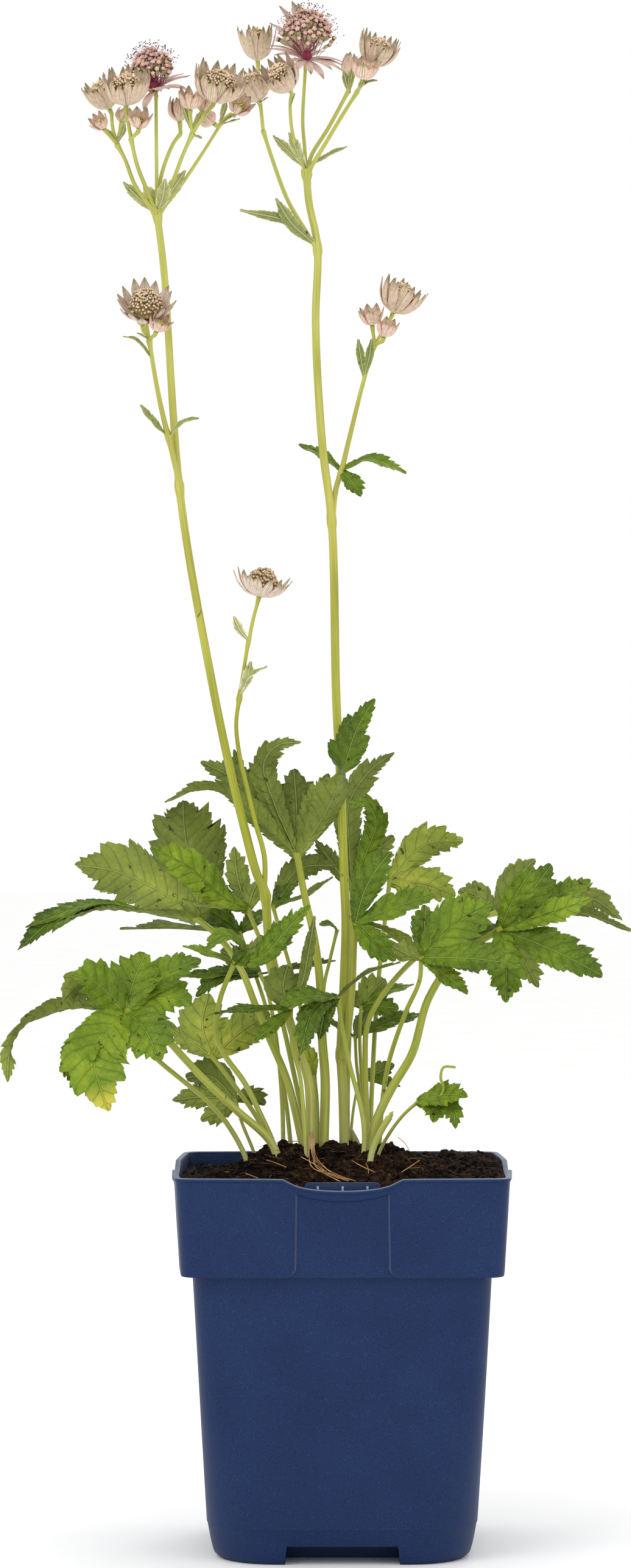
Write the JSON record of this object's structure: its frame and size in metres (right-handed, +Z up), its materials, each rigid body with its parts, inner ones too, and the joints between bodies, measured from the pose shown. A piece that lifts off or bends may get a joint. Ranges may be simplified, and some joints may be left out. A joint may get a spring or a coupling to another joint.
{
  "type": "potted great masterwort",
  "caption": "Great masterwort in a square nursery pot: palmate toothed leaves round a crown, tall branched stems with bracted flower heads, free-standing.",
  "frame": {"origin": "middle of the pot's foot, on the surface it stands on", "axes": "+Z up along the pot's axis, -Y towards the viewer (the side with the label pocket), +X to the viewer's right"},
  "size_m": [0.2089, 0.1147, 0.515],
  "materials": {
    "pot_plastic": "fine-grained moulded",
    "potting_soil": "rough",
    "leaf_green": "satin",
    "stem_green": "satin",
    "bloom_pink": "matte"
  },
  "bodies": {
    "root": {"pot": "pot_plastic", "soil": "potting_soil", "leaf_left_high": "leaf_green", "leaf_left_back": "leaf_green", "leaf_left_bright": "leaf_green", "leaf_centre": "leaf_green", "leaf_centre_back": "leaf_green", "leaf_right_yellow": "leaf_green", "leaf_right_front": "leaf_green", "leaf_far_right": "leaf_green", "leaf_right_back": "leaf_green", "leaf_low_left": "leaf_green", "leaf_far_left": "leaf_green", "leaf_left_inner": "leaf_green", "leaf_hooded": "leaf_green", "leaf_small_left": "leaf_green", "leaf_mid_front": "leaf_green", "leaf_hanging": "leaf_green", "leaf_mid_back": "leaf_green", "leaf_thin": "leaf_green", "leaf_back_strip": "leaf_green", "leaf_small_right": "leaf_green", "leaf_inner_right": "leaf_green", "leaf_tiny": "leaf_green", "leaf_young": "leaf_green", "leaf_in_sheath": "leaf_green", "stem_left": "stem_green", "stem_right": "stem_green", "petiole_stub": "stem_green", "crown_bud": "stem_green", "head_cream": "bloom_pink", "head_cream_left": "bloom_pink", "star_far_left": "bloom_pink", "bud_inner": "bloom_pink", "star_left": "bloom_pink", "head_maroon_left": "bloom_pink", "bud_middle": "bloom_pink", "star_middle": "bloom_pink", "bud_pink": "bloom_pink", "head_large": "bloom_pink", "star_dark": "bloom_pink", "bud_low": "bloom_pink", "head_lower": "bloom_pink", "star_lower": "bloom_pink", "bud_lower": "bloom_pink", "head_single": "bloom_pink", "star_side": "bloom_pink", "star_side_low": "bloom_pink", "head_side": "bloom_pink", "head_pale": "bloom_pink", "head_top_left": "bloom_pink", "head_sideways": "bloom_pink", "head_maroon_right": "bloom_pink", "bud_right": "bloom_pink", "star_right": "bloom_pink", "head_right": "bloom_pink"}
  },
  "joints": []
}
